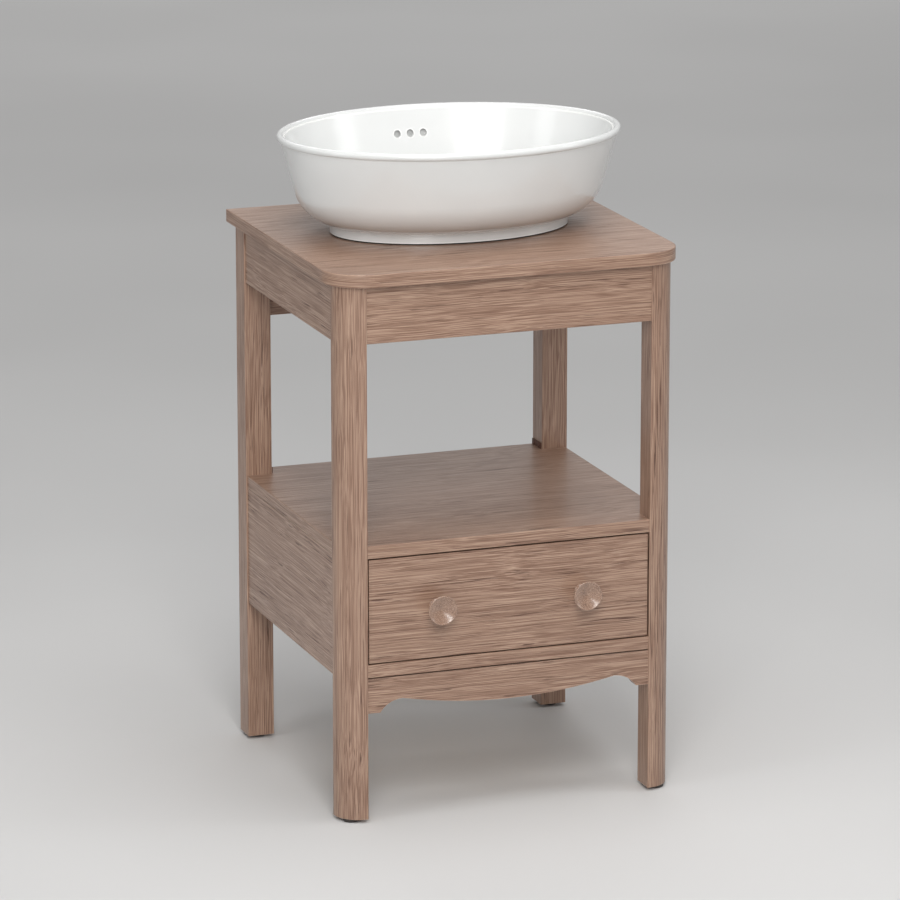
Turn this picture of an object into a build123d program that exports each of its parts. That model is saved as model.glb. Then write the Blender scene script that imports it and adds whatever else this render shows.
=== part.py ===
from build123d import *
from math import atan, cos, radians, sin
import os

# Washstand with one drawer, an open shelf and an oval basin standing on the top.
# Millimetres, +Z up, the drawer faces -Y. The origin is on the floor, at the middle of
# the overall footprint (the knobs are its front edge, the countertop its back edge).

# ---------------------------------------------------------------- driving dimensions
top_width = 500.0
top_depth = 468.0
board = 18.0                      # every main board has this thickness
overhang = 10.0                   # countertop beyond the legs, all round
top_corner_radius = 57.0          # the two front corners
arris = 1.2                       # eased edges of the solid wood
overrun = 1.0                     # how far a cutter passes the faces it opens

leg_length = 734.0
leg_size = 38.0
leg_round = 36.0                  # outer corner of a front leg
setback = 2.0                     # rails and panels behind the faces of the legs

rail_height = 78.0
back_rail_height = 131.0
wall_hole_spacing = 300.0
wall_hole_d = 6.5

shelf_rise = 380.5                # shelf surface above the bottom of the legs
drawer_opening_height = 147.0
drawer_gap = 2.0                  # all round the inset front
bottom_rail_height = 18.0
bottom_rail_depth = 45.0
side_panel_height = 167.0
apron_height = 48.0
apron_setback = 2.0
apron_gap = 1.6                   # shadow line under the rail
apron_tab = 17.5                  # straight foot of the scallop beside each leg
apron_crown_height = 17.3         # crown above the bottom of the tab
apron_crown_from_leg = 50.0
apron_belly_drop = 16.0           # belly below the crown, at the middle
apron_shoulder_run = 0.62         # shoulder between crown and tab, as shares of the
apron_shoulder_rise = 0.68        # way across and of the crown's height

keeper_rise = 8.0                 # strips that hold the shelf down at the back legs
keeper_thickness = 2.0
keeper_length = 32.0
keeper_screw_shift = 9.0
packer_margin = 8.0               # runner packer above and below the runner

box_board = 15.0
box_depth = 360.0
box_height = 110.0
box_lift = 10.0                   # drawer box above the bottom edge of its front
bottom_ply = 6.0
bottom_groove = 7.0               # depth of the groove that holds the drawer bottom
bottom_groove_rise = 10.0
front_arris = 0.8                 # eased edges of the drawer front

knob_projection = 26.0
knob_d = 40.5
knob_from_middle = 104.0
knob_neck_d = 17.0
knob_base_d = 23.0
knob_dish = 7.0
knob_base_height = 2.0
knob_waist_rise = 0.40            # waist and flare, as shares of the projection
knob_flare_rise = 0.76
knob_flare_r = 0.72               # and of the disc's radius
knob_back_rise = 0.86
knob_back_r = 0.93
knob_edge = 1.2                   # edge, bevel and width of the rim round the dish
knob_bevel = 0.5
knob_rim = 1.6
knob_screw_bite = 12.0

runner_length = 350.0
runner_height = 45.0
runner_thickness = 12.7
runner_sheet = 1.2
runner_travel = 300.0
outer_flange_end = 9.5            # flange ends, measured from the case
middle_flange_end = 10.5
inner_flange_end = 5.0
race_gap = 3.4                    # between two flanges, taken up by a row of balls
ball_clearance = 0.05
web_gap = 1.6
balls_per_row = 8
ball_pitch = 22.0

dowel_d = 8.0
dowel_length = 36.0
dowel_bevel = 1.0
dowel_clearance = 0.05
box_dowel_d = 6.0
box_dowel_length = 30.0
screw_d = 4.0
screw_length = 30.0
screw_clearance = 0.05
small_screw_d = 3.5
small_screw_length = 12.0
recess_width = 0.22               # cross recess, as shares of the screw's diameter
recess_span = 1.1
recess_depth = 0.5
low_head = 1.2                    # height and bevel of a low head
low_head_bevel = 0.3
cleat_screw_share = 0.36          # of a cleat's length, from its middle to an end screw
cleat_screw_stagger = 10.0
front_screw_length = 28.0
front_screw_inset = 25.0          # from the inside of the drawer box

foot_d = 22.0
foot_height = 5.0
foot_edge = 1.0
foot_travel = 10.0
stud_d = 8.0
stud_length = 26.0
stud_clearance = 0.08
stud_root = 1.0                   # of the stud, inside the pad
stud_room = 1.0                   # free space round the stud above the insert
insert_d = 12.0
insert_length = 15.0

basin_width = 480.0
basin_depth = 366.0
basin_height = 136.0
basin_back_shift = 16.0           # basin centre behind the middle of the countertop
bead_d = 10.0
bead_outer_lip = 1.8              # bead beyond the outside wall
bead_inner_lip = 1.5              # inside wall beyond the bead
outer_lean = 0.274                # run over rise of the outside wall
inner_lean = 0.40
outer_floor = 12.0                # underside of the bowl above the foot's bottom
bowl_floor = 25.0
outer_turn = 61.0                 # radius from wall to underside
inner_turn = 60.0
foot_inset = 72.0                 # foot ring inside the widest line of the rim
foot_ring_wall = 9.0
foot_ring_root = 3.0              # of the ring, inside the bowl's underside
duct_wall = 4.0                   # ceramic on each side of the overflow duct
duct_width = 52.0
duct_top = 108.0
overflow_d = 10.5
overflow_pitch = 19.0
overflow_rise = 99.0
overflow_depth = 12.0             # each hole, through the inside wall into the duct
seal_thickness = 2.0
seal_margin = 1.5                 # seals stay inside the edges they lie under

waste_hole_d = 46.0
waste_thread_d = 41.9             # pipe thread G 1 1/4
waste_bore_d = 34.0
waste_flange_d = 63.0
waste_flange = 3.0
flange_edge = 0.8
flange_bevel = 3.0
waste_recess = 5.0
recess_margin = 1.5               # recess round the flange
waste_length = 105.0
waste_slot_width = 12.0
waste_slot_height = 3.5
waste_slots = 4
seat_seal = 1.5
tail_groove = 1.5                 # marks off the free tail below the nut
tail_groove_depth = 0.6
washer_d = 64.0
rubber_washer = 3.0
hard_washer = 1.5
nut_height = 11.0
nut_across = 58.0
thread_clearance = 0.05
plug_d = 58.0
plug_cap = 4.0
plug_edge = 1.0                   # lower bevel, upper bevel and crown of the cap
plug_bevel = 1.6
plug_crown = 0.6
plug_crown_r = 0.6                # flat of the crown, as a share of the cap's radius
plug_stem_d = 8.0
plug_stem = 42.0
plug_lift = 8.0
stem_clearance = 0.08
cartridge_d = 15.0
cartridge_length = 22.0
cartridge_arms = 3
cartridge_arm = 3.0
cartridge_arm_height = 8.0
stem_end = 4.0                    # middle of the guide above the end of the stem

# ---------------------------------------------------------------- derived places
frame_width = top_width - 2 * overhang
frame_depth = top_depth - 2 * overhang
knob_reach = knob_projection - setback
overall_depth = knob_reach + frame_depth + overhang

face_x = frame_width / 2                          # outer faces of the legs
front_y = -overall_depth / 2 + knob_reach         # front faces of the legs
back_y = front_y + frame_depth
inner_x = face_x - leg_size                       # inner faces of the legs
inner_front_y = front_y + leg_size
inner_back_y = back_y - leg_size
panel_x = face_x - setback                        # outer faces of rails and side panels
leg_z = foot_height
top_z = leg_z + leg_length                        # underside of the countertop
deck_z = top_z + board
shelf_z = leg_z + shelf_rise
shelf_under_z = shelf_z - board
opening_z = shelf_under_z - drawer_opening_height
apron_top_z = opening_z - bottom_rail_height - apron_gap
panel_z = shelf_under_z - side_panel_height
board_mid = setback + board / 2                   # dowel lines in from a leg's face
drawer_back_of_front = front_y + setback + board
runner_y = drawer_back_of_front + drawer_gap
front_z0 = opening_z + drawer_gap
front_z1 = shelf_under_z - drawer_gap
front_mid_z = (front_z0 + front_z1) / 2
box_z = front_z0 + box_lift
runner_z = box_z + box_height / 2
box_x = inner_x - runner_thickness                # outer faces of the drawer box
basin_y = front_y - overhang + top_depth / 2 + basin_back_shift
basin_z = deck_z + seal_thickness
rim_z = basin_height - bead_d / 2                 # centre of the rim's bead
flange_seat_z = basin_z + bowl_floor - waste_recess


# ---------------------------------------------------------------- shared shapes
def block(x0, x1, y0, y1, z0, z1):
    centre = Pos((x0 + x1) / 2, (y0 + y1) / 2, (z0 + z1) / 2)
    return centre * Box(abs(x1 - x0), abs(y1 - y0), abs(z1 - z0))


def other_side(part):
    return mirror(part, about=Plane.YZ)


def eased(part, radius, axis=None, keep=None):
    edges = part.edges() if axis is None else part.edges().filter_by(axis)
    if keep is not None:
        edges = edges.filter_by(keep)
    return fillet(edges, radius)


def turned(points):
    """Solid of revolution about Z from (radius, height) corners; repeated corners are dropped."""
    corners = [p for p, following in zip(points, points[1:] + points[:1]) if p != following]
    outline = Polyline([(r, 0, z) for r, z in corners], close=True)
    return revolve(make_face(outline), axis=Axis.Z)


def ring(outer_d, inner_d, height):
    return extrude(Circle(outer_d / 2) - Circle(inner_d / 2), height)


def pointing(x, y, z, direction):
    """Place a fastener drawn along -Z so that it drives the given way from its head."""
    return Plane(origin=(x, y, z), z_dir=[-c for c in direction]).location


def countersunk(d, length, extra=0.0):
    head = d / 2
    r = d / 2 + extra
    return turned([(0, extra), (d + extra, extra), (d + extra, 0), (r, -head),
                   (r, -length + d / 2), (0, -length - extra)])


def wood_screw(d, length):
    width = d * recess_width
    span = d * recess_span
    depth = d * recess_depth
    return countersunk(d, length) - Box(width, span, depth) - Box(span, width, depth)


def flat_screw(d, length, extra=0.0):
    """Low-head screw whose head stands above the origin plane."""
    head = low_head + extra
    r = d / 2 + extra
    return turned([(0, head), (d - low_head_bevel + extra, head), (d + extra, 0), (r, 0),
                   (r, -length + d / 2), (0, -length - extra)])


def group(parts):
    return Compound([solid for part in parts for solid in part.solids()])


def cut_all(part, cutters):
    for cutter in cutters:
        part -= cutter
    return part


# ---------------------------------------------------------------- dowels
def dowel(x, y, z, axis_dir, extra=0.0):
    length = dowel_length + 2 * extra
    body = Cylinder(dowel_d / 2 + extra, length)
    if extra == 0.0:
        body = chamfer(body.edges().filter_by(GeomType.CIRCLE), dowel_bevel)
    return Plane(origin=(x, y, z), z_dir=axis_dir).location * body


def across_joint(y, heights, extra):
    """Dowels along X at both ends of a board that runs between two legs."""
    return [dowel(side * inner_x, y, z, (1, 0, 0), extra) for side in (-1, 1) for z in heights]


def along_joint(side, heights, extra):
    """Dowels along Y at both ends of a board that runs from front leg to back leg."""
    x = side * (face_x - board_mid)
    return [dowel(x, y, z, (0, 1, 0), extra) for y in (inner_front_y, inner_back_y) for z in heights]


def thirds(low, high):
    step = (high - low) / 4
    return [low + step, high - step]


rail_lines = thirds(top_z - rail_height, top_z)
back_rail_lines = thirds(top_z - back_rail_height, top_z)
panel_lines = thirds(panel_z, shelf_under_z)
bottom_rail_line = [opening_z - bottom_rail_height / 2]
apron_line = [apron_top_z - board / 2 - dowel_d / 2]


def rail_dowels(extra=0.0):
    pins = across_joint(front_y + board_mid, rail_lines, extra)
    pins += across_joint(back_y - board_mid, back_rail_lines, extra)
    for side in (-1, 1):
        pins += along_joint(side, rail_lines, extra)
    return pins


def case_dowels(extra=0.0):
    pins = across_joint(back_y - board_mid, panel_lines, extra)
    pins += across_joint(front_y + board_mid, bottom_rail_line, extra)
    pins += across_joint(front_y + apron_setback + board / 2, apron_line, extra)
    for side in (-1, 1):
        pins += along_joint(side, panel_lines, extra)
    return pins


def dowel_holes():
    return rail_dowels(dowel_clearance) + case_dowels(dowel_clearance)


# ---------------------------------------------------------------- legs and feet
leg_centres = {
    "front_left": (-face_x + leg_size / 2, front_y + leg_size / 2),
    "front_right": (face_x - leg_size / 2, front_y + leg_size / 2),
    "back_left": (-face_x + leg_size / 2, back_y - leg_size / 2),
    "back_right": (face_x - leg_size / 2, back_y - leg_size / 2),
}


def leg(place, holes):
    x, y = leg_centres[place]
    upright = extrude(Rectangle(leg_size, leg_size), leg_length)
    if place.startswith("front"):
        corners = upright.edges().filter_by(Axis.Z).group_by(Axis.Y)[0].sort_by(Axis.X)
        upright = fillet(corners[0 if x < 0 else -1], leg_round)
    inside = leg_size / 2 - arris
    sharp = [e for e in upright.edges().filter_by(Axis.Z)
             if min(abs(e.center().X), abs(e.center().Y)) > inside]
    upright = fillet(sharp, arris)
    socket = Pos(0, 0, insert_length / 2) * Cylinder(insert_d / 2, insert_length)
    room = Cylinder(stud_d / 2 + stud_room, stud_length + 2 * stud_room)
    upright = Pos(x, y, leg_z) * (upright - socket - Pos(0, 0, stud_length / 2) * room)
    return cut_all(upright, holes)


def foot_insert(place):
    x, y = leg_centres[place]
    bore = stud_d + 2 * stud_clearance
    return Pos(x, y, leg_z) * ring(insert_d, bore, insert_length)


def foot(place):
    x, y = leg_centres[place]
    pad = Cylinder(foot_d / 2, foot_height, align=(Align.CENTER, Align.CENTER, Align.MIN))
    pad = fillet(pad.edges().filter_by(GeomType.CIRCLE), foot_edge)
    stud = Cylinder(stud_d / 2, stud_length)
    stud = Pos(0, 0, foot_height - stud_root + stud_length / 2) * stud
    return Pos(x, y, 0) * (pad + stud)


# ---------------------------------------------------------------- rails and cleats
def top_rail_front(holes):
    y = front_y + setback
    rail = block(-inner_x, inner_x, y, y + board, top_z - rail_height, top_z)
    return cut_all(eased(rail, arris, Axis.X), holes)


def top_rail_back(holes):
    y = back_y - setback
    rail = block(-inner_x, inner_x, y - board, y, top_z - back_rail_height, top_z)
    rail = eased(rail, arris, Axis.X)
    for side in (-1, 1):
        hole = Cylinder(wall_hole_d / 2, 3 * board, rotation=(90, 0, 0))
        rail -= Pos(side * wall_hole_spacing / 2, y, top_z - back_rail_height / 2) * hole
    return cut_all(rail, holes)


def top_rail_side(side, holes):
    x0 = side * (panel_x - board)
    x1 = side * panel_x
    rail = block(x0, x1, inner_front_y, inner_back_y, top_z - rail_height, top_z)
    return cut_all(eased(rail, arris, Axis.Y), holes)


def cleat_screw_places(side):
    """Head position and direction of each screw through a cleat."""
    rail_face = side * (panel_x - board)
    middle_y = (front_y + back_y) / 2
    span = inner_back_y - inner_front_y
    places = []
    for share in (-cleat_screw_share, 0, cleat_screw_share):
        y = middle_y + share * span
        places.append((rail_face - side * board, y, top_z - board / 2, (side, 0, 0)))
        y += cleat_screw_stagger
        places.append((rail_face - side * board / 2, y, top_z - board, (0, 0, 1)))
    return places


def cleat_screws():
    screw = wood_screw(screw_d, screw_length)
    return [pointing(x, y, z, way) * screw
            for side in (-1, 1) for x, y, z, way in cleat_screw_places(side)]


def cleat_screw_holes():
    hole = countersunk(screw_d, screw_length, screw_clearance)
    return [pointing(x, y, z, way) * hole
            for side in (-1, 1) for x, y, z, way in cleat_screw_places(side)]


def top_cleat(side, holes):
    x1 = side * (panel_x - board)
    x0 = x1 - side * board
    cleat = block(x0, x1, inner_front_y, inner_back_y, top_z - board, top_z)
    return cut_all(cleat, holes)


def countertop(holes):
    y0 = front_y - overhang
    slab = block(-top_width / 2, top_width / 2, y0, y0 + top_depth, top_z, deck_z)
    corners = slab.edges().filter_by(Axis.Z).sort_by(Axis.Y)[:2]
    slab = fillet(corners, top_corner_radius)
    rims = [f.outer_wire().edges() for f in slab.faces().filter_by(Axis.Z)]
    slab = fillet([e for wire in rims for e in wire], arris)
    slab -= Pos(0, basin_y, top_z) * Cylinder(waste_hole_d / 2, 3 * board)
    return cut_all(slab, holes)


# ---------------------------------------------------------------- shelf and drawer case
def shelf():
    plate = block(-panel_x, panel_x, front_y + setback, back_y - setback, shelf_under_z, shelf_z)
    for x, y in leg_centres.values():
        plate -= block(x - leg_size / 2, x + leg_size / 2, y - leg_size / 2, y + leg_size / 2,
                       shelf_under_z - overrun, shelf_z + overrun)
    long_edges = plate.edges().filter_by(Axis.X).group_by(Axis.Y)
    side_edges = plate.edges().filter_by(Axis.Y).group_by(Axis.X)
    outer = long_edges[0] + long_edges[-1] + side_edges[0] + side_edges[-1]
    return fillet(outer, arris)


def side_panel(side, holes):
    x0 = side * (panel_x - board)
    x1 = side * panel_x
    panel = block(x0, x1, inner_front_y, inner_back_y, panel_z, shelf_under_z)
    lower = panel.edges().filter_by(Axis.Y).group_by(Axis.Z)[0]
    return cut_all(fillet(lower, arris), holes)


def case_back(holes):
    y = back_y - setback
    panel = block(-inner_x, inner_x, y - board, y, panel_z, shelf_under_z)
    return cut_all(panel, holes)


def bottom_rail(holes):
    y = front_y + setback
    rail = block(-inner_x, inner_x, y, y + bottom_rail_depth, opening_z - bottom_rail_height,
                 opening_z)
    front = rail.edges().filter_by(Axis.X).group_by(Axis.Y)[0]
    return cut_all(fillet(front, arris), holes)


def scalloped_apron(holes):
    low = apron_top_z - apron_height
    crown_z = low + apron_crown_height
    tab_x = inner_x - apron_tab
    crown_x = inner_x - apron_crown_from_leg
    belly_z = crown_z - apron_belly_drop
    shoulder_x = crown_x + (tab_x - crown_x) * apron_shoulder_run
    shoulder_z = low + apron_crown_height * apron_shoulder_rise
    outline = Polyline((-tab_x, low), (-inner_x, low), (-inner_x, apron_top_z),
                       (inner_x, apron_top_z), (inner_x, low), (tab_x, low))
    outline += ThreePointArc((tab_x, low), (shoulder_x, shoulder_z), (crown_x, crown_z))
    outline += ThreePointArc((crown_x, crown_z), (0, belly_z), (-crown_x, crown_z))
    outline += ThreePointArc((-crown_x, crown_z), (-shoulder_x, shoulder_z), (-tab_x, low))
    y = front_y + apron_setback
    face = Plane.XZ * make_face(outline)
    apron = Pos(0, y + board, 0) * extrude(face, board)
    crowns = [e for e in apron.edges().filter_by(Axis.Y)
              if abs(abs(e.center().X) - crown_x) + abs(e.center().Z - crown_z) < overrun]
    apron = fillet(crowns, apron_crown_height / 2)
    return cut_all(apron, holes)


def runner_packer(side, holes):
    """Batten that brings a side panel out flush with the inner faces of the legs."""
    x0 = side * inner_x
    x1 = side * (panel_x - board)
    half = runner_height / 2 + packer_margin
    packer = block(x0, x1, inner_front_y, inner_back_y, runner_z - half, runner_z + half)
    return cut_all(packer, holes)


def keeper_fasteners(extra=0.0):
    """Screws through the keeper strips into the back legs."""
    screw = flat_screw(small_screw_d, small_screw_length, extra)
    x = inner_x - keeper_thickness
    y = back_y - leg_size / 2
    z = shelf_z + keeper_rise / 2
    return [pointing(side * x, y + shift, z, (side, 0, 0)) * screw
            for side in (-1, 1) for shift in (-keeper_screw_shift, keeper_screw_shift)]


def shelf_keeper(side, holes):
    x = side * inner_x
    y = back_y - leg_size / 2
    half = keeper_length / 2
    strip = block(x - side * keeper_thickness, x, y - half, y + half, shelf_z, shelf_z + keeper_rise)
    return cut_all(strip, holes)


# ---------------------------------------------------------------- drawer runners
# Section of a right-hand runner: u runs from the case towards the drawer, v is height.
half_outer = runner_height / 2
half_middle = half_outer - runner_sheet - race_gap
half_inner = half_middle - runner_sheet - race_gap
middle_u = runner_sheet + web_gap
ball_d = race_gap - 2 * ball_clearance
cage_rear = 90.0                  # front end of a cage behind the runner's front end
cage_sheet = 0.8
cage_width = 4.0
outer_row_u = 6.0
inner_row_u = 7.6


def channel(u0, u1, web_at_u0, half):
    """Channel section with its web at one end of the span u0 to u1."""
    outer = block(u0, u1, 0, runner_length, -half, half)
    inside = half - runner_sheet
    start = u0 + runner_sheet if web_at_u0 else u0 - overrun
    stop = u1 + overrun if web_at_u0 else u1 - runner_sheet
    return outer - block(start, stop, -overrun, runner_length + overrun, -inside, inside)


def on_side(side, part):
    """Move a runner piece from its section frame to one side of the case."""
    placed = Pos(-inner_x, runner_y, runner_z) * part
    return placed if side < 0 else other_side(placed)


def runner_outer(side, holes):
    member = channel(0, outer_flange_end, True, half_outer)
    return cut_all(on_side(side, member), holes)


def runner_middle(side):
    return on_side(side, channel(middle_u, middle_flange_end, True, half_middle))


def runner_inner(side, holes):
    member = channel(inner_flange_end, runner_thickness, False, half_inner)
    return cut_all(on_side(side, member), holes)


def ball_cage(side, row_u, row_v):
    """Two ball strips, above and below, with their balls."""
    length = (balls_per_row - 1) * ball_pitch + 2 * cage_width
    pieces = []
    for way in (-1, 1):
        strip = block(row_u - cage_width / 2, row_u + cage_width / 2, cage_rear, cage_rear + length,
                      way * row_v - cage_sheet / 2, way * row_v + cage_sheet / 2)
        for i in range(balls_per_row):
            y = cage_rear + cage_width + i * ball_pitch
            strip -= Pos(row_u, y, way * row_v) * Cylinder(ball_d / 2 + 2 * ball_clearance, race_gap)
            pieces.append(Pos(row_u, y, way * row_v) * Sphere(ball_d / 2))
        pieces.append(strip)
    return group([on_side(side, piece) for piece in pieces])


def outer_cage(side):
    return ball_cage(side, outer_row_u, half_middle + race_gap / 2)


def inner_cage(side):
    return ball_cage(side, inner_row_u, half_inner + race_gap / 2)


runner_screw_places = [60.0, 180.0, 300.0]


def case_runner_fasteners(extra=0.0):
    """Screws through the outer members into the packers."""
    screw = flat_screw(small_screw_d, small_screw_length, extra)
    return [pointing(side * (inner_x - runner_sheet), runner_y + y, runner_z, (side, 0, 0)) * screw
            for side in (-1, 1) for y in runner_screw_places]


def drawer_runner_fasteners(extra=0.0):
    """Screws through the inner members into the sides of the drawer box."""
    screw = flat_screw(small_screw_d, small_screw_length, extra)
    x = box_x + runner_sheet
    return [pointing(side * x, runner_y + y, runner_z, (-side, 0, 0)) * screw
            for side in (-1, 1) for y in runner_screw_places]


# ---------------------------------------------------------------- drawer
box_front_y = drawer_back_of_front
box_back_y = box_front_y + box_depth
bottom_z = box_z + bottom_groove_rise


def box_dowels(extra=0.0):
    """Dowels through the sides of the drawer box into its front and back."""
    body = Cylinder(box_dowel_d / 2 + extra, box_dowel_length + 2 * extra, rotation=(0, 90, 0))
    heights = thirds(bottom_z + bottom_ply, box_z + box_height)
    x = box_x - box_dowel_length / 2
    return [Pos(side * x, y, z) * body
            for side in (-1, 1)
            for y in (box_front_y + box_board / 2, box_back_y - box_board / 2)
            for z in heights]


def knob_fasteners(extra=0.0, sides=(-1, 1)):
    """Machine screws from inside the box, through the front and into the knobs."""
    length = box_board + board + knob_screw_bite
    screw = flat_screw(screw_d, length, extra)
    y = box_front_y + box_board
    return [pointing(side * knob_from_middle, y, front_mid_z, (0, -1, 0)) * screw for side in sides]


def front_fasteners(extra=0.0):
    """Screws from inside the box that hold the drawer front on."""
    screw = flat_screw(screw_d, front_screw_length, extra)
    x = box_x - box_board - front_screw_inset
    heights = thirds(bottom_z + bottom_ply, box_z + box_height)
    y = box_front_y + box_board
    return [pointing(side * x, y, z, (0, -1, 0)) * screw for side in (-1, 1) for z in heights]


def drawer_front(holes):
    y = front_y + setback
    x = inner_x - drawer_gap
    front = eased(block(-x, x, y, y + board, front_z0, front_z1), front_arris)
    return cut_all(front, holes)


def bottom_panel(extra=0.0):
    reach = bottom_groove
    x = box_x - box_board + reach + extra
    y0 = box_front_y + box_board - reach - extra
    y1 = box_back_y - box_board + reach + extra
    return block(-x, x, y0, y1, bottom_z - extra, bottom_z + bottom_ply + extra)


def box_side(side, holes):
    x0 = side * (box_x - box_board)
    x1 = side * box_x
    board_side = block(x0, x1, box_front_y, box_back_y, box_z, box_z + box_height)
    top_edges = board_side.edges().filter_by(Axis.Y).group_by(Axis.Z)[-1]
    board_side = fillet(top_edges, arris)
    return cut_all(board_side - bottom_panel(dowel_clearance), holes)


def box_end(y0, y1, holes):
    x = box_x - box_board
    end = block(-x, x, y0, y1, box_z, box_z + box_height)
    return cut_all(end - bottom_panel(dowel_clearance), holes)


def knob(side, holes):
    """Turned knob: a foot, a waist and a flared disc with a dished face."""
    r = knob_d / 2
    reach = knob_projection
    foot_corner = (knob_base_d / 2, 0, knob_base_height)
    flare = (r * knob_flare_r, 0, reach * knob_flare_rise)
    edge = (r, 0, reach - knob_edge)
    outline = Polyline((0, 0, 0), (knob_base_d / 2, 0, 0), foot_corner)
    outline += ThreePointArc(foot_corner, (knob_neck_d / 2, 0, reach * knob_waist_rise), flare)
    outline += ThreePointArc(flare, (r * knob_back_r, 0, reach * knob_back_rise), edge)
    outline += Polyline(edge, (r - knob_bevel, 0, reach), (r - knob_rim, 0, reach),
                        (0, 0, reach - knob_dish), (0, 0, 0))
    body = revolve(make_face(outline), axis=Axis.Z)
    spot = Plane(origin=(side * knob_from_middle, front_y + setback, front_mid_z), z_dir=(0, -1, 0))
    return cut_all(spot.location * body, holes)


# ---------------------------------------------------------------- basin and waste
def oval(inset, z):
    return Pos(0, 0, z) * Ellipse(basin_width / 2 - inset, basin_depth / 2 - inset)


def bowl(inset, lean, turn, floor, top):
    """Solid bowl: a leaning wall from the rim, then an arc of radius turn down to floor."""
    tilt = atan(lean)
    start_z = floor + turn * (1 - sin(tilt))
    start_inset = inset + lean * (rim_z - start_z)
    wall = loft([oval(start_inset, start_z), oval(inset + lean * (rim_z - top), top)])
    centre_inset = start_inset + turn * cos(tilt)
    centre_z = floor + turn
    steps = 6
    angles = [radians(90) * i / steps + tilt * (1 - i / steps) for i in range(steps + 1)]
    sections = [oval(centre_inset - turn * cos(a), centre_z - turn * sin(a)) for a in angles]
    return wall + loft(sections)


def basin():
    outer_inset = bead_d / 2 - bead_outer_lip
    inner_inset = bead_d + bead_inner_lip
    shell = bowl(outer_inset, outer_lean, outer_turn, outer_floor, rim_z)
    cavity = bowl(inner_inset, inner_lean, inner_turn, bowl_floor, basin_height + overrun)
    duct = bowl(outer_inset + duct_wall, outer_lean, outer_turn - duct_wall,
                outer_floor + duct_wall, duct_top)
    duct -= bowl(inner_inset - duct_wall, inner_lean, inner_turn + duct_wall,
                 bowl_floor - duct_wall, duct_top + overrun)
    duct &= block(-duct_width / 2, duct_width / 2, 0, basin_depth, 0, duct_top)
    rim_path = Pos(0, 0, rim_z) * Edge.make_ellipse(basin_width / 2 - bead_d / 2,
                                                    basin_depth / 2 - bead_d / 2)
    bead = sweep(Plane(origin=rim_path @ 0, z_dir=rim_path % 0) * Circle(bead_d / 2), path=rim_path)
    foot_ring = extrude(oval(foot_inset, 0) - oval(foot_inset + foot_ring_wall, 0),
                        outer_floor + foot_ring_root)
    body = shell + bead + foot_ring
    body -= cavity
    body -= Pos(0, 0, bowl_floor) * Cylinder(waste_flange_d / 2 + recess_margin, 2 * waste_recess)
    body -= Cylinder(waste_hole_d / 2, 3 * bowl_floor)
    body -= duct
    back_wall_y = basin_depth / 2 - inner_inset - inner_lean * (rim_z - overflow_rise)
    for i in (-1, 0, 1):
        hole = Cylinder(overflow_d / 2, overflow_depth, rotation=(90, 0, 0))
        body -= Pos(i * overflow_pitch, back_wall_y, overflow_rise) * hole
    return Pos(0, basin_y, basin_z) * body


def basin_seal():
    gasket = oval(foot_inset + seal_margin, 0) - oval(foot_inset + foot_ring_wall - seal_margin, 0)
    return Pos(0, basin_y, deck_z) * extrude(gasket, seal_thickness)


nut_z = top_z - rubber_washer - hard_washer - nut_height
flange_z = flange_seat_z + seat_seal
plug_z = flange_z + waste_flange
cartridge_z = plug_z - plug_stem + stem_end


def waste_body():
    """Flanged tube with overflow slots, through the basin and the countertop."""
    bottom = flange_z - waste_length
    tube = Pos(0, 0, bottom) * ring(waste_thread_d, waste_bore_d, waste_length)
    bore_r = waste_bore_d / 2
    edge_r = waste_flange_d / 2
    flange = turned([(bore_r, 0), (edge_r, 0), (edge_r, flange_edge),
                     (edge_r - flange_bevel, waste_flange), (bore_r, waste_flange)])
    tube += Pos(0, 0, flange_z) * flange
    groove = ring(waste_thread_d + overrun, waste_thread_d - 2 * tail_groove_depth, tail_groove)
    tube -= Pos(0, 0, nut_z - tail_groove) * groove
    slot_z = basin_z + outer_floor + duct_wall
    slot = block(-waste_slot_width / 2, waste_slot_width / 2, bore_r - overrun, waste_thread_d,
                 slot_z, slot_z + waste_slot_height)
    for i in range(waste_slots):
        tube -= Rot(0, 0, 360 * i / waste_slots) * slot
    return Pos(0, basin_y, 0) * tube


def waste_top_seal():
    seal = ring(waste_flange_d - seal_margin, waste_thread_d + 2 * thread_clearance, seat_seal)
    return Pos(0, basin_y, flange_seat_z) * seal


def waste_rubber_washer():
    washer = ring(washer_d, waste_thread_d + 2 * thread_clearance, rubber_washer)
    return Pos(0, basin_y, top_z - rubber_washer) * washer


def waste_hard_washer():
    washer = ring(washer_d, waste_thread_d + 2 * thread_clearance, hard_washer)
    return Pos(0, basin_y, top_z - rubber_washer - hard_washer) * washer


def waste_nut():
    hexagon = RegularPolygon(nut_across / 2, 6, major_radius=False)
    nut = extrude(hexagon - Circle(waste_thread_d / 2 + thread_clearance), nut_height)
    return Pos(0, basin_y, nut_z) * nut


def plug_cartridge():
    """Three-armed guide fixed in the tube, with a sleeve for the plug's stem."""
    sleeve = ring(cartridge_d, plug_stem_d + 2 * stem_clearance, cartridge_length)
    arm = block(cartridge_d / 2 - overrun, waste_bore_d / 2, -cartridge_arm / 2, cartridge_arm / 2,
                0, cartridge_arm_height)
    for i in range(cartridge_arms):
        sleeve += Rot(0, 0, 360 * i / cartridge_arms) * arm
    tube_bore = Cylinder(waste_bore_d / 2, 4 * cartridge_length)
    return Pos(0, basin_y, cartridge_z - cartridge_length / 2) * (sleeve & tube_bore)


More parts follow.
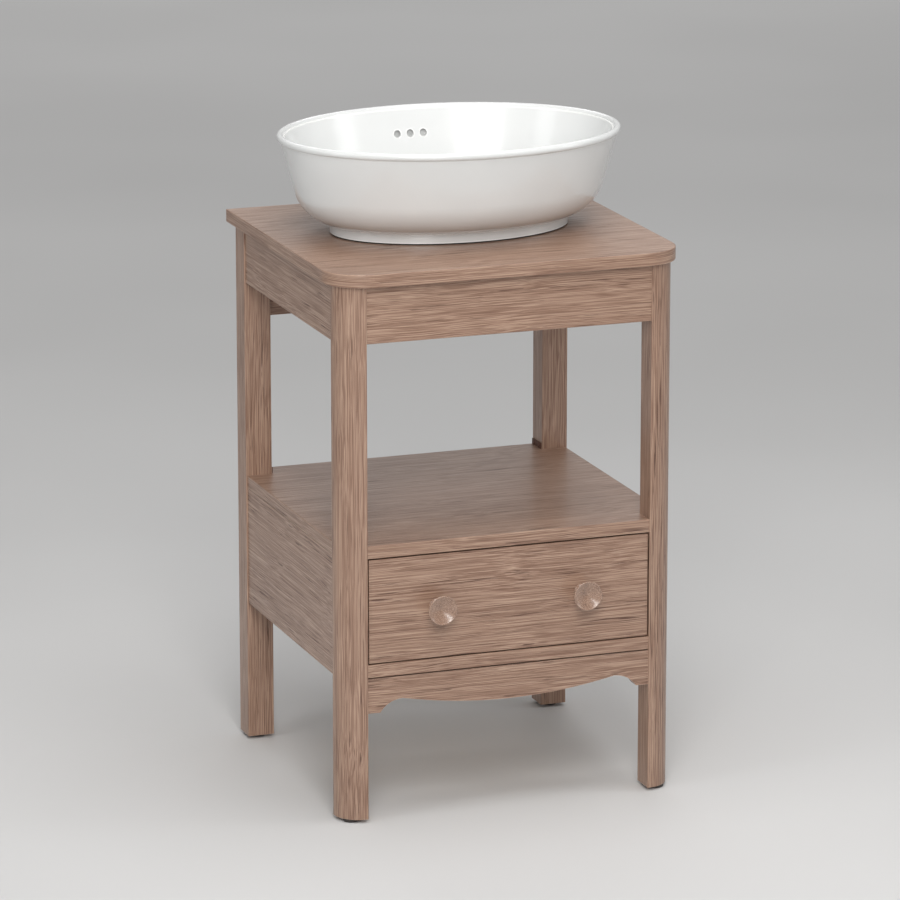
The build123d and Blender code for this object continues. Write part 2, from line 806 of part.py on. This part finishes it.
def waste_plug():
    cap_r = plug_d / 2
    shoulder = plug_cap - plug_crown
    cap = turned([(0, 0), (cap_r - plug_edge, 0), (cap_r, plug_edge), (cap_r, plug_cap - plug_bevel),
                  (cap_r - plug_bevel, shoulder), (cap_r * plug_crown_r, plug_cap), (0, plug_cap)])
    stem = Pos(0, 0, -plug_stem / 2) * Cylinder(plug_stem_d / 2, plug_stem)
    return Pos(0, basin_y, plug_z) * (cap + stem)


# ---------------------------------------------------------------- build
def build():
    dowels_out = dowel_holes()
    cleats_out = cleat_screw_holes()
    keepers_out = keeper_fasteners(screw_clearance)
    case_screws_out = case_runner_fasteners(screw_clearance)
    box_screws_out = drawer_runner_fasteners(screw_clearance)
    front_out = knob_fasteners(screw_clearance) + front_fasteners(screw_clearance)
    box_out = box_dowels(dowel_clearance)
    parts = {
        "countertop": countertop(cleats_out),
        "top_rail_front": top_rail_front(dowels_out),
        "top_rail_back": top_rail_back(dowels_out),
        "shelf": shelf(),
        "case_back": case_back(dowels_out),
        "bottom_rail": bottom_rail(dowels_out),
        "scalloped_apron": scalloped_apron(dowels_out),
        "frame_dowels": group(rail_dowels() + case_dowels()),
        "cleat_screws": group(cleat_screws()),
        "shelf_keepers": group([shelf_keeper(side, keepers_out) for side in (-1, 1)]),
        "foot_inserts": group([foot_insert(place) for place in leg_centres]),
        "case_small_screws": group(case_runner_fasteners() + keeper_fasteners()),
        "drawer_runner_screws": group(drawer_runner_fasteners()),
        "drawer_front": drawer_front(front_out),
        "drawer_box_front": box_end(box_front_y, box_front_y + box_board, box_out + front_out),
        "drawer_box_back": box_end(box_back_y - box_board, box_back_y, box_out),
        "drawer_bottom": bottom_panel(),
        "drawer_box_dowels": group(box_dowels()),
        "knob_screws": group(knob_fasteners()),
        "drawer_front_screws": group(front_fasteners()),
        "basin": basin(),
        "basin_seal": basin_seal(),
        "waste_body": waste_body(),
        "waste_top_seal": waste_top_seal(),
        "waste_rubber_washer": waste_rubber_washer(),
        "waste_hard_washer": waste_hard_washer(),
        "waste_nut": waste_nut(),
        "plug_cartridge": plug_cartridge(),
        "waste_plug": waste_plug(),
    }
    for place in leg_centres:
        parts["leg_" + place] = leg(place, dowels_out + keepers_out)
        parts["foot_" + place] = foot(place)
    for side, name in ((-1, "left"), (1, "right")):
        parts["top_rail_" + name] = top_rail_side(side, dowels_out + cleats_out)
        parts["top_cleat_" + name] = top_cleat(side, cleats_out)
        parts["side_panel_" + name] = side_panel(side, dowels_out)
        parts["runner_packer_" + name] = runner_packer(side, case_screws_out)
        parts["runner_outer_" + name] = runner_outer(side, case_screws_out)
        parts["runner_middle_" + name] = runner_middle(side)
        parts["runner_inner_" + name] = runner_inner(side, box_screws_out)
        parts["outer_ball_cage_" + name] = outer_cage(side)
        parts["inner_ball_cage_" + name] = inner_cage(side)
        parts["drawer_side_" + name] = box_side(side, box_out + box_screws_out)
        parts["knob_" + name] = knob(side, knob_fasteners(screw_clearance, [side]))
    return parts


os.makedirs("parts", exist_ok=True)
for node, shape in build().items():
    export_step(shape, "parts/" + node + ".step")
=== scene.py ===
import math

import bpy
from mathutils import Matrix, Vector


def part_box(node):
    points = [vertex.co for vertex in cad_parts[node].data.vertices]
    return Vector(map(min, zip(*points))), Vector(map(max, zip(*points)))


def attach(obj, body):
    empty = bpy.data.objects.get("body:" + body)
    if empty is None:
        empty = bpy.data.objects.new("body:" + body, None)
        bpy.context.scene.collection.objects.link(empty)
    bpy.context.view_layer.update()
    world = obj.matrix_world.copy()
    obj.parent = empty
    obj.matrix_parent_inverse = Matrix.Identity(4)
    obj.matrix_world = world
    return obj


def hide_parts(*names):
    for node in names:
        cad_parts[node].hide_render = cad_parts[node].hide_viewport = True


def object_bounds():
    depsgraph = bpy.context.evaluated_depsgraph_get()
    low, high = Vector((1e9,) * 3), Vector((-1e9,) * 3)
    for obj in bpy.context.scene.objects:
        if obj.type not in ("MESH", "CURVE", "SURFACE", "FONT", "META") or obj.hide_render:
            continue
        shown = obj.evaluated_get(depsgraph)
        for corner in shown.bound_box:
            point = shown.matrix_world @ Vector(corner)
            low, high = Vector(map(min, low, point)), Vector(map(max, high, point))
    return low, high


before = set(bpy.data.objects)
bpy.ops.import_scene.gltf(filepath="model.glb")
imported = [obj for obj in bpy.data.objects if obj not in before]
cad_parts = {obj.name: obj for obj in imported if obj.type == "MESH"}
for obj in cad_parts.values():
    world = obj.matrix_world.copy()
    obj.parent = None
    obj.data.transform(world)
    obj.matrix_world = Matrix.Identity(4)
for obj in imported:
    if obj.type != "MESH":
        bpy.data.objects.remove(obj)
cad_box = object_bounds()

MM = 0.001
GRAIN_X, GRAIN_Y, GRAIN_Z = 0, 1, 2
FLAT, TURNED = 0.995, 0.86      # how nearly parallel the normals are off and on an edge that gets wear and a painted highlight
UPRIGHT = 0.5                   # a face is upright where its normal rises less than this


def rgb(red, green, blue):
    """Linear colour from 0-255 display values."""
    def linear(value):
        share = value / 255
        return share / 12.92 if share <= 0.04045 else ((share + 0.055) / 1.055) ** 2.4
    return (linear(red), linear(green), linear(blue), 1.0)


def scaled(colour, factor, lift=0.0):
    """The same hue, lighter or darker, never brighter than full."""
    return tuple(min(1.0, factor * part + lift) for part in colour[:3]) + (1.0,)


# ---------------------------------------------------------------- node helpers
class Graph:
    """A material with short calls for adding and wiring its nodes."""

    def __init__(self, name):
        self.material = bpy.data.materials.new(name)
        self.material.use_nodes = True
        self.tree = self.material.node_tree
        self.tree.nodes.clear()
        self.out = self.tree.nodes.new("ShaderNodeOutputMaterial")
        self.shader = self.tree.nodes.new("ShaderNodeBsdfPrincipled")
        self.tree.links.new(self.shader.outputs["BSDF"], self.out.inputs["Surface"])

    def feed(self, socket, value):
        if isinstance(value, bpy.types.NodeSocket):
            self.tree.links.new(value, socket)
        else:
            socket.default_value = value

    def add(self, kind, inputs=(), **settings):
        node = self.tree.nodes.new("ShaderNode" + kind)
        for key, value in settings.items():
            setattr(node, key, value)
        for key, value in dict(inputs).items():
            self.feed(node.inputs[key], value)
        return node

    def place(self):
        """Where a point lies on the object, in metres."""
        return self.add("TexCoord").outputs["Object"]

    def normal(self):
        return self.add("NewGeometry").outputs["Normal"]

    def split(self, vector):
        return self.add("SeparateXYZ", {"Vector": vector}).outputs

    def join(self, x, y, z):
        return self.add("CombineXYZ", {"X": x, "Y": y, "Z": z}).outputs["Vector"]

    def stretch(self, vector, scale, shift=(0.0, 0.0, 0.0)):
        node = self.add("Mapping", {"Vector": vector, "Location": shift, "Scale": scale})
        return node.outputs["Vector"]

    def noise(self, vector, scale, detail=2.0, roughness=0.5, shift=(0.0, 0.0, 0.0)):
        """Noise with this many cells in a metre along each axis."""
        inputs = {"Vector": self.stretch(vector, scale, shift), "Scale": 1.0, "Detail": detail,
                  "Roughness": roughness}
        return self.add("TexNoise", inputs).outputs["Fac"]

    def math(self, operation, a, b=0.0):
        return self.add("Math", {0: a, 1: b}, operation=operation).outputs["Value"]

    def times(self, a, b):
        return self.math("MULTIPLY", a, b)

    def span(self, value, low, high, to_low=0.0, to_high=1.0):
        node = self.add("MapRange", {"Value": value, "From Min": low, "From Max": high,
                                     "To Min": to_low, "To Max": to_high},
                        interpolation_type="SMOOTHSTEP")
        return node.outputs["Result"]

    def middle_span(self, value, to_low=0.0, to_high=1.0):
        """Spreads the usual range of a noise over the given one."""
        return self.span(value, 0.3, 0.7, to_low, to_high)

    def mix(self, factor, a, b):
        node = self.add("Mix", data_type="RGBA", blend_type="MIX")
        self.feed(node.inputs["Factor"], factor)
        self.feed(node.inputs["A"], a)
        self.feed(node.inputs["B"], b)
        return node.outputs["Result"]

    def tint(self, colour, mask, start, full, amount, paint):
        """Lays paint over colour, from nothing at mask = start to amount at mask = full."""
        return self.mix(self.span(mask, start, full, 0.0, amount), colour, paint)

    def bump(self, height, strength, distance):
        inputs = {"Height": height, "Strength": strength, "Distance": distance}
        return self.add("Bump", inputs).outputs["Normal"]

    def edge_wear_and_highlight_mask(self, radius):
        """0 on flat faces, rising to 1 where the surface turns within radius."""
        soft = self.add("Bevel", {"Radius": radius}, samples=6).outputs["Normal"]
        inputs = {0: soft, 1: self.normal()}
        dot = self.add("VectorMath", inputs, operation="DOT_PRODUCT").outputs["Value"]
        return self.span(dot, FLAT, TURNED)

    def edge_wear_and_highlight(self, colour, radius, amount, wear_and_highlight_colour):
        """Lays a lighter colour over edges, as wear and as a painted highlight."""
        return self.mix(self.times(self.edge_wear_and_highlight_mask(radius), amount), colour, wear_and_highlight_colour)

    def set(self, **values):
        for key, value in values.items():
            self.feed(self.shader.inputs[key.replace("_", " ")], value)


# ---------------------------------------------------------------- wood
OAK = rgb(163, 132, 112)
OAK_CLOUD = rgb(150, 119, 101)
OAK_LIGHT = rgb(196, 167, 146)
OAK_SHADE = rgb(114, 81, 64)
OAK_PORE = rgb(78, 48, 35)
# paler colour painted on the oak's rounded edges as a highlight
OAK_EDGE_HIGHLIGHT = rgb(196, 170, 153)
# brighter painted highlight for the rims of the turned knobs
OAK_KNOB_RIM_HIGHLIGHT = rgb(226, 205, 189)
WANDER = 0.012                  # how far a line of grain strays sideways, in metres


def vector_socket(sockets, name):
    return next(socket for socket in sockets if socket.name == name and socket.type == "VECTOR")


def grain_frame(graph, axis):
    """Coordinates in metres turned so that the given axis comes first."""
    parts = graph.split(graph.place())
    order = {GRAIN_X: (0, 1, 2), GRAIN_Y: (1, 0, 2), GRAIN_Z: (2, 0, 1)}[axis]
    return graph.join(*(parts[number] for number in order))


def edge_frame(graph):
    """Coordinates in metres with X running along a board's edge, round its corners, and Z up."""
    parts = graph.split(graph.place())
    return graph.join(graph.math("ADD", parts["X"], parts["Y"]), 0.0, parts["Z"])


def edge_banded(graph, turned):
    """The face's coordinates on level faces and the edge's on upright ones."""
    rise = graph.math("ABSOLUTE", graph.split(graph.normal())["Z"])
    upright = graph.math("LESS_THAN", rise, UPRIGHT)
    swap = graph.add("Mix", data_type="VECTOR")
    graph.feed(swap.inputs["Factor"], upright)
    graph.feed(vector_socket(swap.inputs, "A"), turned)
    graph.feed(vector_socket(swap.inputs, "B"), edge_frame(graph))
    return vector_socket(swap.outputs, "Result")


def along_grain(graph, axis, shift, banded=False):
    """Coordinates in metres with the grain on X, wandering slightly as it runs."""
    turned = grain_frame(graph, axis)
    if banded:
        turned = edge_banded(graph, turned)
    moved = graph.stretch(turned, (1.0, 1.0, 1.0), shift)
    wander = graph.noise(moved, (3.0, 9.0, 9.0))
    drift = graph.times(graph.math("SUBTRACT", wander, 0.5), WANDER)
    inputs = {0: moved, 1: graph.join(0.0, drift, drift)}
    return graph.add("VectorMath", inputs, operation="ADD").outputs["Vector"]


def lines(graph, grain, per_metre, thickness, detail=1.0, shift=(0.0, 0.0, 0.0)):
    """Streaks along the grain: how many fit in a metre of length, and how thick each is."""
    across = 1.0 / thickness
    return graph.noise(grain, (per_metre, across, across), detail, shift=shift)


def oak(name, axis, shift, banded=False, wear_and_highlight_colour=OAK_EDGE_HIGHLIGHT, edge_wear_and_highlight=0.5, roughness=0.42, coat=0.3):
    graph = Graph(name)
    grain = along_grain(graph, axis, shift, banded)
    cloud = graph.noise(grain, (1.2, 9.0, 9.0))
    rings = lines(graph, grain, 1.0, 11.0 * MM, detail=2.0)
    long_lines = lines(graph, grain, 2.4, 1.8 * MM)
    fine_lines = lines(graph, grain, 4.0, 1.0 * MM, shift=(2.0, 0.3, 0.9))
    hair = lines(graph, grain, 16.0, 0.7 * MM, shift=(0.4, 1.3, 0.2))
    dashes = lines(graph, grain, 15.0, 1.5 * MM, shift=(3.1, 0.7, 1.9))
    short_dashes = lines(graph, grain, 55.0, 1.0 * MM, shift=(1.1, 2.7, 0.9))

    colour = graph.tint(OAK, cloud, 0.3, 0.7, 0.14, OAK_CLOUD)
    colour = graph.tint(colour, rings, 0.40, 0.66, 0.12, OAK_SHADE)
    colour = graph.tint(colour, long_lines, 0.50, 0.34, 0.16, OAK_LIGHT)
    colour = graph.tint(colour, long_lines, 0.52, 0.74, 0.26, OAK_SHADE)
    colour = graph.tint(colour, fine_lines, 0.50, 0.36, 0.52, OAK_LIGHT)
    colour = graph.tint(colour, fine_lines, 0.50, 0.65, 0.54, OAK_SHADE)
    colour = graph.tint(colour, hair, 0.46, 0.68, 0.70, OAK_SHADE)
    open_grain = graph.span(rings, 0.40, 0.62, 0.15, 1.0)
    pores = graph.times(graph.span(dashes, 0.62, 0.70), open_grain)
    pits = graph.times(graph.span(short_dashes, 0.62, 0.74), open_grain)
    colour = graph.mix(graph.times(pores, 0.88), colour, OAK_PORE)
    colour = graph.mix(graph.times(pits, 0.5), colour, OAK_PORE)
    # painted highlight: the rounded edges are made paler, as if catching the light
    colour = graph.edge_wear_and_highlight(colour, 1.3 * MM, edge_wear_and_highlight, wear_and_highlight_colour)

    relief = 1.0
    for hollow, depth in ((pores, 0.7), (pits, 0.4), (fine_lines, 0.8), (long_lines, 0.5), (hair, 0.3)):
        relief = graph.math("SUBTRACT", relief, graph.times(hollow, depth))
    sheen = graph.middle_span(fine_lines, roughness - 0.04, roughness + 0.06)
    graph.set(Base_Color=colour, Roughness=graph.math("ADD", sheen, graph.times(pores, 0.2)),
              Specular_IOR_Level=0.5, Coat_Weight=coat, Coat_Roughness=0.2,
              Normal=graph.bump(relief, 0.4, 0.5 * MM))
    return graph.material


def pale_wood(name, axis, shift):
    """Bare planed wood of the hidden battens and the drawer box."""
    graph = Graph(name)
    grain = along_grain(graph, axis, shift)
    bands = graph.noise(grain, (3.0, 60.0, 60.0), detail=4.0, roughness=0.6)
    fibre = graph.noise(grain, (20.0, 520.0, 520.0), detail=4.0, roughness=0.65)
    colour = graph.tint(rgb(203, 172, 134), bands, 0.35, 0.7, 1.0, rgb(180, 146, 108))
    colour = graph.tint(colour, fibre, 0.48, 0.72, 0.45, rgb(148, 112, 78))
    colour = graph.edge_wear_and_highlight(colour, 1.0 * MM, 0.35, rgb(218, 190, 156))
    graph.set(Base_Color=colour, Roughness=graph.middle_span(fibre, 0.62, 0.5),
              Normal=graph.bump(fibre, 0.25, 0.5 * MM))
    return graph.material


def plywood(name):
    """The drawer's bottom: a pale rotary-cut face."""
    graph = Graph(name)
    grain = along_grain(graph, GRAIN_X, (4.0, 2.0, 0.0))
    face = graph.noise(grain, (2.5, 34.0, 34.0), detail=4.0, roughness=0.6)
    waves = {"Vector": graph.stretch(grain, (0.5, 9.0, 9.0)), "Scale": 1.3, "Distortion": 5.0,
             "Detail": 3.0}
    rings = graph.add("TexWave", waves).outputs["Fac"]
    fibre = graph.noise(grain, (18.0, 450.0, 450.0), detail=4.0)
    colour = graph.tint(rgb(214, 186, 148), face, 0.3, 0.7, 1.0, rgb(192, 160, 120))
    colour = graph.mix(graph.times(rings, 0.28), colour, rgb(168, 132, 92))
    colour = graph.tint(colour, fibre, 0.5, 0.75, 0.3, rgb(150, 116, 80))
    graph.set(Base_Color=colour, Roughness=0.58, Normal=graph.bump(fibre, 0.2, 0.4 * MM))
    return graph.material


# ---------------------------------------------------------------- ceramic, metals, plastics
def ceramic(name):
    """White glaze, with a painted highlight: paler over tight curves such as the rim's bead."""
    graph = Graph(name)
    spot = graph.place()
    tone = graph.noise(spot, (7.0, 7.0, 9.0))
    peel = graph.noise(spot, (90.0, 90.0, 90.0))
    pits = graph.noise(spot, (900.0, 900.0, 900.0), detail=1.0)
    colour = graph.tint(rgb(221, 222, 221), tone, 0.3, 0.7, 1.0, rgb(216, 217, 216))
    # painted highlight on the rim's bead and the other tight curves
    colour = graph.edge_wear_and_highlight(colour, 3.5 * MM, 1.0, rgb(250, 250, 247))
    height = graph.math("ADD", peel, graph.times(pits, 0.08))
    graph.set(Base_Color=colour, Roughness=graph.middle_span(tone, 0.16, 0.21),
              Specular_IOR_Level=0.5, Coat_Weight=0.35, Coat_Roughness=0.10,
              Normal=graph.bump(height, 0.05, 0.6 * MM))
    return graph.material


def metal(name, colour, roughness, brushed=0.3, axis=GRAIN_X):
    """Brushed metal with tarnish in patches and brighter edges."""
    graph = Graph(name)
    grain = along_grain(graph, axis, (1.0, 2.0, 3.0))
    brush = graph.noise(grain, (60.0, 2600.0, 2600.0), detail=3.0)
    blotch = graph.noise(grain, (40.0, 40.0, 40.0), detail=3.0)
    shade = graph.tint(colour, blotch, 0.35, 0.7, 0.25, scaled(colour, 0.72))
    shade = graph.edge_wear_and_highlight(shade, 0.6 * MM, 0.2, scaled(colour, 1.25))
    graph.set(Base_Color=shade, Metallic=1.0,
              Roughness=graph.middle_span(brush, roughness, roughness + 0.12),
              Normal=graph.bump(brush, brushed * 0.3, 0.05 * MM))
    return graph.material


def moulded(name, colour, roughness, sheen=0.0):
    """Plastic or rubber with a fine moulded texture and dusty edges."""
    graph = Graph(name)
    spot = graph.place()
    texture = graph.noise(spot, (1800.0, 1800.0, 1800.0))
    dust = graph.noise(spot, (55.0, 55.0, 55.0), detail=4.0, roughness=0.6)
    paler = scaled(colour, 1.35, lift=0.012)
    shade = graph.tint(colour, dust, 0.45, 0.8, 0.5, paler)
    shade = graph.edge_wear_and_highlight(shade, 0.7 * MM, 0.4, paler)
    graph.set(Base_Color=shade, Sheen_Weight=sheen,
              Roughness=graph.middle_span(texture, roughness - 0.08, roughness + 0.08),
              Normal=graph.bump(texture, 0.15, 0.1 * MM))
    return graph.material


# ---------------------------------------------------------------- materials on the CAD nodes
SIDES = ("left", "right")
CORNERS = ("front_left", "front_right", "back_left", "back_right")
BOARDS = {
    GRAIN_X: ["countertop", "top_rail_front", "top_rail_back", "shelf", "case_back",
              "bottom_rail", "scalloped_apron", "drawer_front"],
    GRAIN_Y: ["top_rail_left", "top_rail_right", "side_panel_left", "side_panel_right"],
    GRAIN_Z: ["leg_" + corner for corner in CORNERS],
}
EDGE_BANDED = ("countertop", "shelf")
PALE = {
    GRAIN_X: ["drawer_box_front", "drawer_box_back", "frame_dowels", "drawer_box_dowels"],
    GRAIN_Y: [kind + side for kind in ("drawer_side_", "top_cleat_", "runner_packer_") for side in SIDES],
}
RUNNERS = [kind + side for kind in ("runner_outer_", "runner_middle_", "runner_inner_") for side in SIDES]
CAGES = [kind + side for kind in ("outer_ball_cage_", "inner_ball_cage_") for side in SIDES]
SCREWS = ["cleat_screws", "drawer_runner_screws", "drawer_front_screws", "knob_screws"]
FEET = ["foot_" + corner for corner in CORNERS]


def dress(nodes, material):
    for node in nodes:
        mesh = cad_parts[node].data
        mesh.materials.clear()
        mesh.materials.append(material)


def own_shift(index):
    """A different stretch of the timber for each board."""
    return (0.37 * index + 0.11, 0.19 * index, 0.23 * index + 0.05)


def dress_wood():
    boards = [(axis, node) for axis, names in BOARDS.items() for node in names]
    for index, (axis, node) in enumerate(boards, start=1):
        dress([node], oak("oak_" + node, axis, own_shift(index), banded=node in EDGE_BANDED))
    hidden = [(axis, node) for axis, names in PALE.items() for node in names]
    for index, (axis, node) in enumerate(hidden, start=len(boards) + 1):
        dress([node], pale_wood("pale_wood_" + node, axis, own_shift(index)))
    dress(["drawer_bottom"], plywood("plywood_face"))


def dress_rest():
    dress(["basin"], ceramic("ceramic_glaze"))
    dress(["waste_body", "waste_plug"], metal("chrome_polish", rgb(216, 218, 220), 0.05, brushed=0.05))
    dress(["waste_nut", "foot_inserts"], metal("brass_turned", rgb(196, 160, 96), 0.22))
    dress(SCREWS + RUNNERS, metal("zinc_plate", rgb(176, 178, 180), 0.30, axis=GRAIN_Y))
    dress(CAGES, metal("cage_steel_plain", rgb(150, 152, 154), 0.34, axis=GRAIN_Y))
    dress(["shelf_keepers", "case_small_screws"], moulded("dark_lacquer", rgb(92, 64, 52), 0.6))
    dress(["basin_seal", "waste_top_seal", "waste_rubber_washer"],
          moulded("rubber_matte", rgb(30, 28, 27), 0.78, sheen=0.1))
    dress(FEET, moulded("foot_plastic_textured", rgb(52, 46, 43), 0.5))
    dress(["plug_cartridge", "waste_hard_washer"],
          moulded("white_plastic_moulded", rgb(214, 213, 208), 0.42))


dress_wood()
dress_rest()


# ---------------------------------------------------------------- turned knobs
# Outline of a knob: distance from its axis as a share of the disc's radius, and height above
# the drawer front as a share of the projection.
KNOB_BASE = [(0.54, 0.0), (0.565, 0.02), (0.565, 0.06), (0.52, 0.10)]
KNOB_WAIST = [(0.46, 0.17), (0.425, 0.27), (0.42, 0.38), (0.45, 0.50), (0.53, 0.62)]
KNOB_FLARE = [(0.66, 0.72), (0.80, 0.79), (0.91, 0.86), (0.975, 0.92)]
KNOB_RIM = [(1.0, 0.96), (0.995, 0.985), (0.97, 1.0), (0.93, 0.998), (0.90, 0.975)]
KNOB_DISH = [(0.80, 0.935), (0.60, 0.868), (0.40, 0.80), (0.20, 0.742), (0.08, 0.722)]
KNOB_DISH_FLOOR = 0.72
KNOB_SEGMENTS = 72
KNOB_TIMBER, KNOB_TIMBER_RUN = 40, 30       # where in the timber each knob is cut


def turned_mesh(name, outline, floor, centre, front_y, radius, reach):
    """The outline turned about Y, closed at its foot and at the floor of its dish."""
    verts = []
    for share, rise in outline:
        for step in range(KNOB_SEGMENTS):
            turn = 2 * math.pi * step / KNOB_SEGMENTS
            verts.append((centre.x + share * radius * math.cos(turn), front_y - rise * reach,
                          centre.z + share * radius * math.sin(turn)))
    foot, dish = len(verts), len(verts) + 1
    verts += [(centre.x, front_y, centre.z), (centre.x, front_y - floor * reach, centre.z)]
    last_ring = (len(outline) - 1) * KNOB_SEGMENTS
    faces = []
    for ring in range(0, last_ring, KNOB_SEGMENTS):
        for step in range(KNOB_SEGMENTS):
            a, b = ring + step, ring + (step + 1) % KNOB_SEGMENTS
            faces.append((a, a + KNOB_SEGMENTS, b + KNOB_SEGMENTS, b))
    for step in range(KNOB_SEGMENTS):
        after = (step + 1) % KNOB_SEGMENTS
        faces.append((step, after, foot))
        faces.append((last_ring + after, last_ring + step, dish))
    mesh = bpy.data.meshes.new(name)
    mesh.from_pydata(verts, [], faces)
    mesh.update()
    mesh.shade_smooth()
    return mesh


def knob(side):
    """Replaces the CAD knob of one side; its size and place come from that knob."""
    node = "knob_" + side
    low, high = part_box(node)
    centre = (low + high) / 2
    outline = KNOB_BASE + KNOB_WAIST + KNOB_FLARE + KNOB_RIM + KNOB_DISH
    name = "turned_knob_" + side
    mesh = turned_mesh(name, outline, KNOB_DISH_FLOOR, centre, front_y=high.y,
                       radius=(high.x - low.x) / 2, reach=high.y - low.y)
    shift = own_shift(KNOB_TIMBER + centre.x * KNOB_TIMBER_RUN)
    # the knob's rim gets the full painted highlight
    mesh.materials.append(oak("oak_turned_" + side, GRAIN_Y, shift, wear_and_highlight_colour=OAK_KNOB_RIM_HIGHLIGHT, edge_wear_and_highlight=1.0,
                              roughness=0.24, coat=1.0))
    obj = bpy.data.objects.new(name, mesh)
    bpy.context.scene.collection.objects.link(obj)
    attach(obj, "drawer")
    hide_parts(node)
    smooth = obj.modifiers.new("smooth", "SUBSURF")
    smooth.levels = smooth.render_levels = 1


for side in SIDES:
    knob(side)

# ---------------------------------------------------------------- floor, light and camera
FLOOR_SIZE = 30.0
FLOOR_CELLS = 12
FLOOR_DARK = (0.62, 0.615, 0.61, 1.0)
FLOOR_PALE = (0.66, 0.655, 0.65, 1.0)
CAMERA_AZIMUTH = math.radians(-19.93)
CAMERA_ELEVATION = math.radians(14.42)
CAMERA_TARGET = Vector((-0.0073, 0.0, 0.449))
CAMERA_DISTANCE = 7.366
CAMERA_LENS = 214.4
CAMERA_SENSOR = 36.0
CAMERA_CLIP_END = 100.0
LIGHT_TARGET = (0.0, 0.0, 0.5)
WHITE = (1.0, 1.0, 1.0)
WARM_WHITE = (1.0, 0.99, 0.975)
SOFT_WHITE = (1.0, 0.99, 0.98)
COOL_WHITE = (0.97, 0.985, 1.0)
SKY_WHITE = (0.96, 0.98, 1.0)
AIR = (0.97, 0.97, 0.97, 1.0)
AIR_STRENGTH = 0.31


def studio_floor():
    """A wide level sheet at the lowest point of the object."""
    ground = cad_box[0].z
    row = FLOOR_CELLS + 1
    verts = [(FLOOR_SIZE * (i / FLOOR_CELLS - 0.5), FLOOR_SIZE * (j / FLOOR_CELLS - 0.5), ground)
             for j in range(row) for i in range(row)]
    faces = [(j * row + i, j * row + i + 1, (j + 1) * row + i + 1, (j + 1) * row + i)
             for j in range(FLOOR_CELLS) for i in range(FLOOR_CELLS)]
    mesh = bpy.data.meshes.new("studio_floor")
    mesh.from_pydata(verts, [], faces)
    graph = Graph("studio_floor_paper")
    tone = graph.noise(graph.place(), (0.8, 0.8, 0.8))
    graph.set(Base_Color=graph.tint(FLOOR_DARK, tone, 0.3, 0.7, 1.0, FLOOR_PALE), Roughness=0.85)
    mesh.materials.append(graph.material)
    obj = bpy.data.objects.new("studio_floor", mesh)
    bpy.context.scene.collection.objects.link(obj)


def soft_light(name, place, size, power, colour=WHITE, target=LIGHT_TARGET):
    data = bpy.data.lights.new(name, "AREA")
    data.shape = "RECTANGLE"
    data.size, data.size_y = size
    data.energy = power
    data.color = colour
    obj = bpy.data.objects.new(name, data)
    obj.location = place
    obj.rotation_euler = (Vector(target) - Vector(place)).to_track_quat("-Z", "Y").to_euler()
    obj.visible_camera = False
    bpy.context.scene.collection.objects.link(obj)


def studio_light():
    soft_light("key", (-1.1, -3.1, 3.0), (1.6, 1.6), 68.0, WARM_WHITE)
    soft_light("front", (-1.2, -3.9, 1.8), (1.2, 1.0), 32.0, SOFT_WHITE)
    soft_light("overhead", (0.1, -0.5, 2.9), (1.8, 1.8), 32.0)
    soft_light("backdrop", (1.3, 3.4, 1.5), (3.6, 1.4), 1.8)
    soft_light("strip_right", (2.6, -1.2, 1.5), (0.7, 2.2), 10.0, COOL_WHITE)
    soft_light("strip_left", (-2.9, -0.9, 1.6), (0.8, 2.2), 12.0, SKY_WHITE)
    soft_light("floor_wash", (2.2, 7.5, 6.0), (6.0, 4.0), 150.0, target=(2.2, 6.5, 0.0))
    world = bpy.data.worlds.new("studio_air")
    world.use_nodes = True
    air = world.node_tree.nodes["Background"].inputs
    air["Color"].default_value = AIR
    air["Strength"].default_value = AIR_STRENGTH
    bpy.context.scene.world = world
    bpy.context.scene.view_settings.view_transform = "Standard"


def studio_camera():
    """The camera stands at the front left, above the basin, looking down at the middle."""
    level = math.cos(CAMERA_ELEVATION)
    back = Vector((math.sin(CAMERA_AZIMUTH) * level, -math.cos(CAMERA_AZIMUTH) * level,
                   math.sin(CAMERA_ELEVATION)))
    data = bpy.data.cameras.new("camera")
    data.sensor_width = CAMERA_SENSOR
    data.lens = CAMERA_LENS
    data.clip_end = CAMERA_CLIP_END
    obj = bpy.data.objects.new("camera", data)
    obj.location = CAMERA_TARGET + CAMERA_DISTANCE * back
    obj.rotation_euler = (-back).to_track_quat("-Z", "Y").to_euler()
    bpy.context.scene.collection.objects.link(obj)
    bpy.context.scene.camera = obj


studio_floor()
studio_light()
studio_camera()
